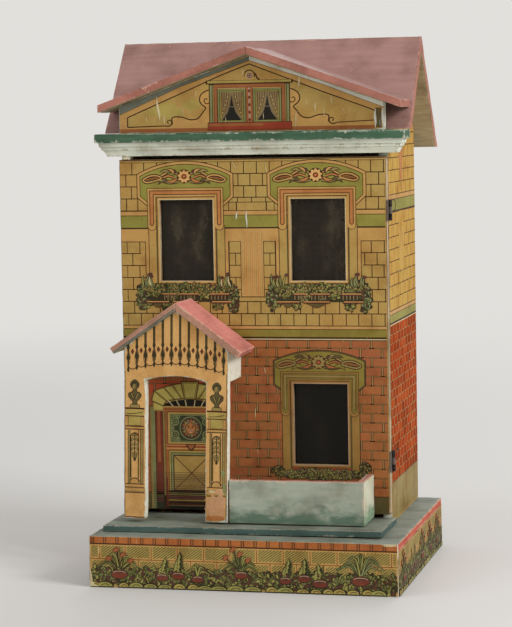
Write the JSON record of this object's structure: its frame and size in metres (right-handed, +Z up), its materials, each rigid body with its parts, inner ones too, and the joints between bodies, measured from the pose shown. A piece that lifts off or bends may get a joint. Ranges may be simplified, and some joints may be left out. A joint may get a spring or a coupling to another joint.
{
  "type": "toy house",
  "caption": "Papered wooden toy house with a steep roof, a cross gable, a porch and a low garden wall, on a hollow base; its whole front swings open on two hinges.",
  "frame": {"origin": "middle of the underside of the hollow base, on the bearer under its top board", "axes": "+Z up, -Y out of the front that opens, +X to the right seen from the front, where the hinges are"},
  "size_m": [0.2807, 0.2551, 0.4703],
  "materials": {
    "front_paper": "softwood board under printed paper in ochre and brick red, varnished",
    "wall_paper": "softwood board under printed paper in ochre and brick red, varnished",
    "porch_paper": "softwood board under printed paper in warm buff, varnished",
    "base_paper": "softwood board under printed paper in khaki and orange, varnished",
    "rose_paint": "old dusty rose paint with coral edges",
    "salmon_paint": "old salmon paint",
    "teal_paint": "old grey-green paint",
    "green_paint": "old green paint",
    "white_paint": "old off-white paint",
    "garden_wall_paint": "old pale grey-green paint with sponged green",
    "bare_wood": "aged unpainted softwood",
    "window_glass": "thin old window glass, slightly hazy",
    "hinge_metal": "tarnished"
  },
  "bodies": {
    "house": {"base_front_board": "base_paper", "base_back_board": "base_paper", "base_left_board": "base_paper", "base_right_board": "base_paper", "base_middle_bearer": "bare_wood", "base_top_board": "teal_paint", "step_slab": "teal_paint", "left_wall": "wall_paper", "right_wall": "wall_paper", "back_wall": "wall_paper", "ground_floor": "bare_wood", "upper_floor": "bare_wood", "attic_floor": "bare_wood", "front_rail": "bare_wood", "cornice_moulding_front": "white_paint", "cornice_return_left": "white_paint", "cornice_return_right": "white_paint", "cornice_cap": "green_paint", "closing_block": "white_paint", "roof_front": "rose_paint", "roof_back": "rose_paint", "gable_roof_left": "rose_paint", "gable_roof_right": "rose_paint", "pediment_board": "front_paper", "hinge_leaf_wall_upper": "hinge_metal", "hinge_leaf_wall_lower": "hinge_metal", "hinge_pin_upper": "hinge_metal", "hinge_pin_lower": "hinge_metal"},
    "front": {"front_board": "front_paper", "glass_upper_left": "window_glass", "glass_upper_right": "window_glass", "glass_lower": "window_glass", "glass_frame_upper_left": "bare_wood", "glass_frame_upper_right": "bare_wood", "glass_frame_lower": "bare_wood", "portal_board": "porch_paper", "porch_cheek_left": "white_paint", "porch_cheek_right": "white_paint", "porch_roof_left": "salmon_paint", "porch_roof_right": "salmon_paint", "parapet_front": "garden_wall_paint", "parapet_return": "garden_wall_paint", "hinge_leaf_front_upper": "hinge_metal", "hinge_leaf_front_lower": "hinge_metal"}
  },
  "joints": [
    {"name": "front_hinge", "type": "hinge", "parent": "house", "child": "front", "pos_m": [0.1148, -0.01925, 0.2], "axis": [0, 0, 1], "range_deg": [0, 180]}
  ]
}
